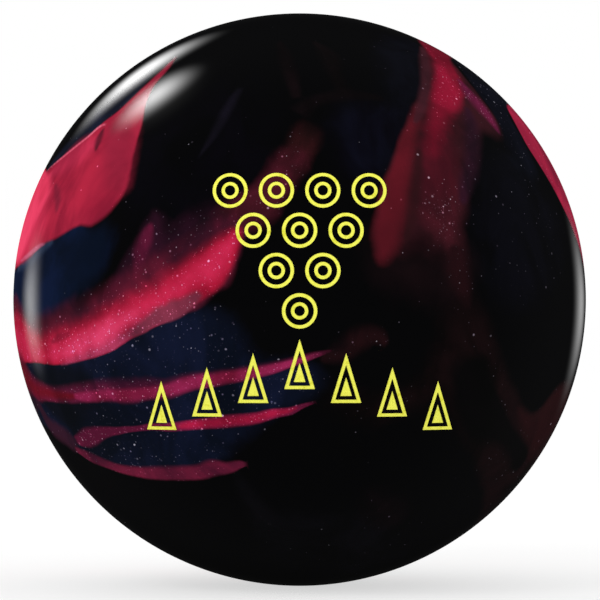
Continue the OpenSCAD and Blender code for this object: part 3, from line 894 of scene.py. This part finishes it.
bpy.context.scene.view_settings.view_transform = "Standard"
world = bpy.data.worlds.new("studio")
bpy.context.scene.world = world
world.use_nodes = True
tree = world.node_tree
tree.nodes.clear()
strength = maths(tree, "MULTIPLY_ADD", is_seen(tree), 1 - round_light, round_light)
glow = add_node(tree, "ShaderNodeBackground", {"Color": (1, 1, 1, 1), "Strength": strength})
add_node(tree, "ShaderNodeOutputWorld", {"Surface": glow.outputs[0]})

floor_shape = bmesh.new()
bmesh.ops.create_circle(floor_shape, cap_ends=True, segments=64, radius=floor_r)
floor = add_object("studio_floor", mesh_of(floor_shape, "studio_floor"))
floor.location = (0, 0, -ball_r)
floor_paper, tree, place = new_material("floor paper")
seen = is_seen(tree)
glow = add_node(tree, "ShaderNodeEmission", {
    "Color": (1, 1, 1, 1), "Strength": maths(tree, "MULTIPLY", seen, floor_glow)})
paper = add_node(tree, "ShaderNodeBsdfDiffuse", {
    "Color": blend(tree, seen, floor_grey, floor_seen_grey)})
both = add_node(tree, "ShaderNodeAddShader", {0: glow.outputs[0], 1: paper.outputs[0]})
add_node(tree, "ShaderNodeOutputMaterial", {"Surface": both.outputs[0]})
floor.data.materials.append(floor_paper)


def softbox(name, place, aim, upright, width, height, radiance, gloss_only):
    """A lit panel that faces its aim, brightest in the middle. upright is the way that its height runs."""
    lamp = bpy.data.lights.new(name, "AREA")
    lamp.shape = "RECTANGLE"
    lamp.size = width
    lamp.size_y = height
    lamp.energy = radiance * math.pi * width * height
    lamp.use_nodes = True
    lamp_tree = lamp.node_tree
    lamp_tree.nodes.clear()
    spot = lamp_tree.nodes.new("ShaderNodeNewGeometry").outputs["Parametric"]
    off_middle = add_node(lamp_tree, "ShaderNodeVectorMath", {
        0: spot, 1: (0.5, 0.5, 0)}, operation="DISTANCE")
    fade = eased(lamp_tree, off_middle.outputs["Value"], 0.5, 0.0)
    light = add_node(lamp_tree, "ShaderNodeEmission", {
        "Color": (1, 1, 1, 1), "Strength": maths(lamp_tree, "MULTIPLY", fade, fade) if gloss_only else fade})
    add_node(lamp_tree, "ShaderNodeOutputLight", {"Surface": light.outputs[0]})
    away = (place - aim).normalized()
    across = upright.cross(away).normalized()
    facing = Matrix((across, away.cross(across), away)).transposed().to_4x4()
    stand = bpy.data.objects.new(name, lamp)
    stand.matrix_world = Matrix.Translation(place) @ facing
    stand.visible_camera = False
    stand.visible_diffuse = not gloss_only
    stand.visible_glossy = gloss_only
    bpy.context.collection.objects.link(stand)


def edge_light(name, round_by, share, distance, across, along, radiance):
    """A softbox whose gloss shows at one place on the ball: round_by degrees round from the right-hand side,
    and at a share of the way out to the ball's edge. Its angles across and along that edge are in degrees."""
    slope = math.atan(share * limb_slope)
    tilt = math.asin(math.sin(slope) * camera_distance / ball_r) - slope
    turn = math.radians(round_by)
    normal = Vector((math.sin(tilt) * math.cos(turn), -math.cos(tilt), math.sin(tilt) * math.sin(turn)))
    spot = normal * ball_r
    to_camera = (camera.location - spot).normalized()
    to_lamp = 2 * normal.dot(to_camera) * normal - to_camera
    height = 2 * distance * math.tan(math.radians(along / 2))
    width = 2 * distance * math.tan(math.radians(across / 2))
    softbox(name, place=spot + to_lamp * distance, aim=spot, upright=to_camera.cross(to_lamp),
            width=width, height=height, radiance=radiance, gloss_only=True)


softbox("front softbox", place=Vector((-1.2, -1.6, 1.6)), aim=Vector((0, 0, 0)), upright=Vector((0, 0, 1)),
        width=1.5, height=1.5, radiance=5, gloss_only=False)
edge_light("upper edge light", round_by=125.5, share=0.965, distance=1.2, across=32, along=29.5, radiance=335)
edge_light("upper face light", round_by=125.5, share=0.874, distance=1.2, across=30, along=30, radiance=212)
edge_light("upper glow", round_by=125, share=0.862, distance=1.2, across=46, along=36, radiance=7)
edge_light("left edge light", round_by=180.8, share=0.941, distance=0.3, across=34, along=42, radiance=80)
edge_light("right edge light", round_by=-1.5, share=0.983, distance=0.3, across=34, along=40, radiance=84)
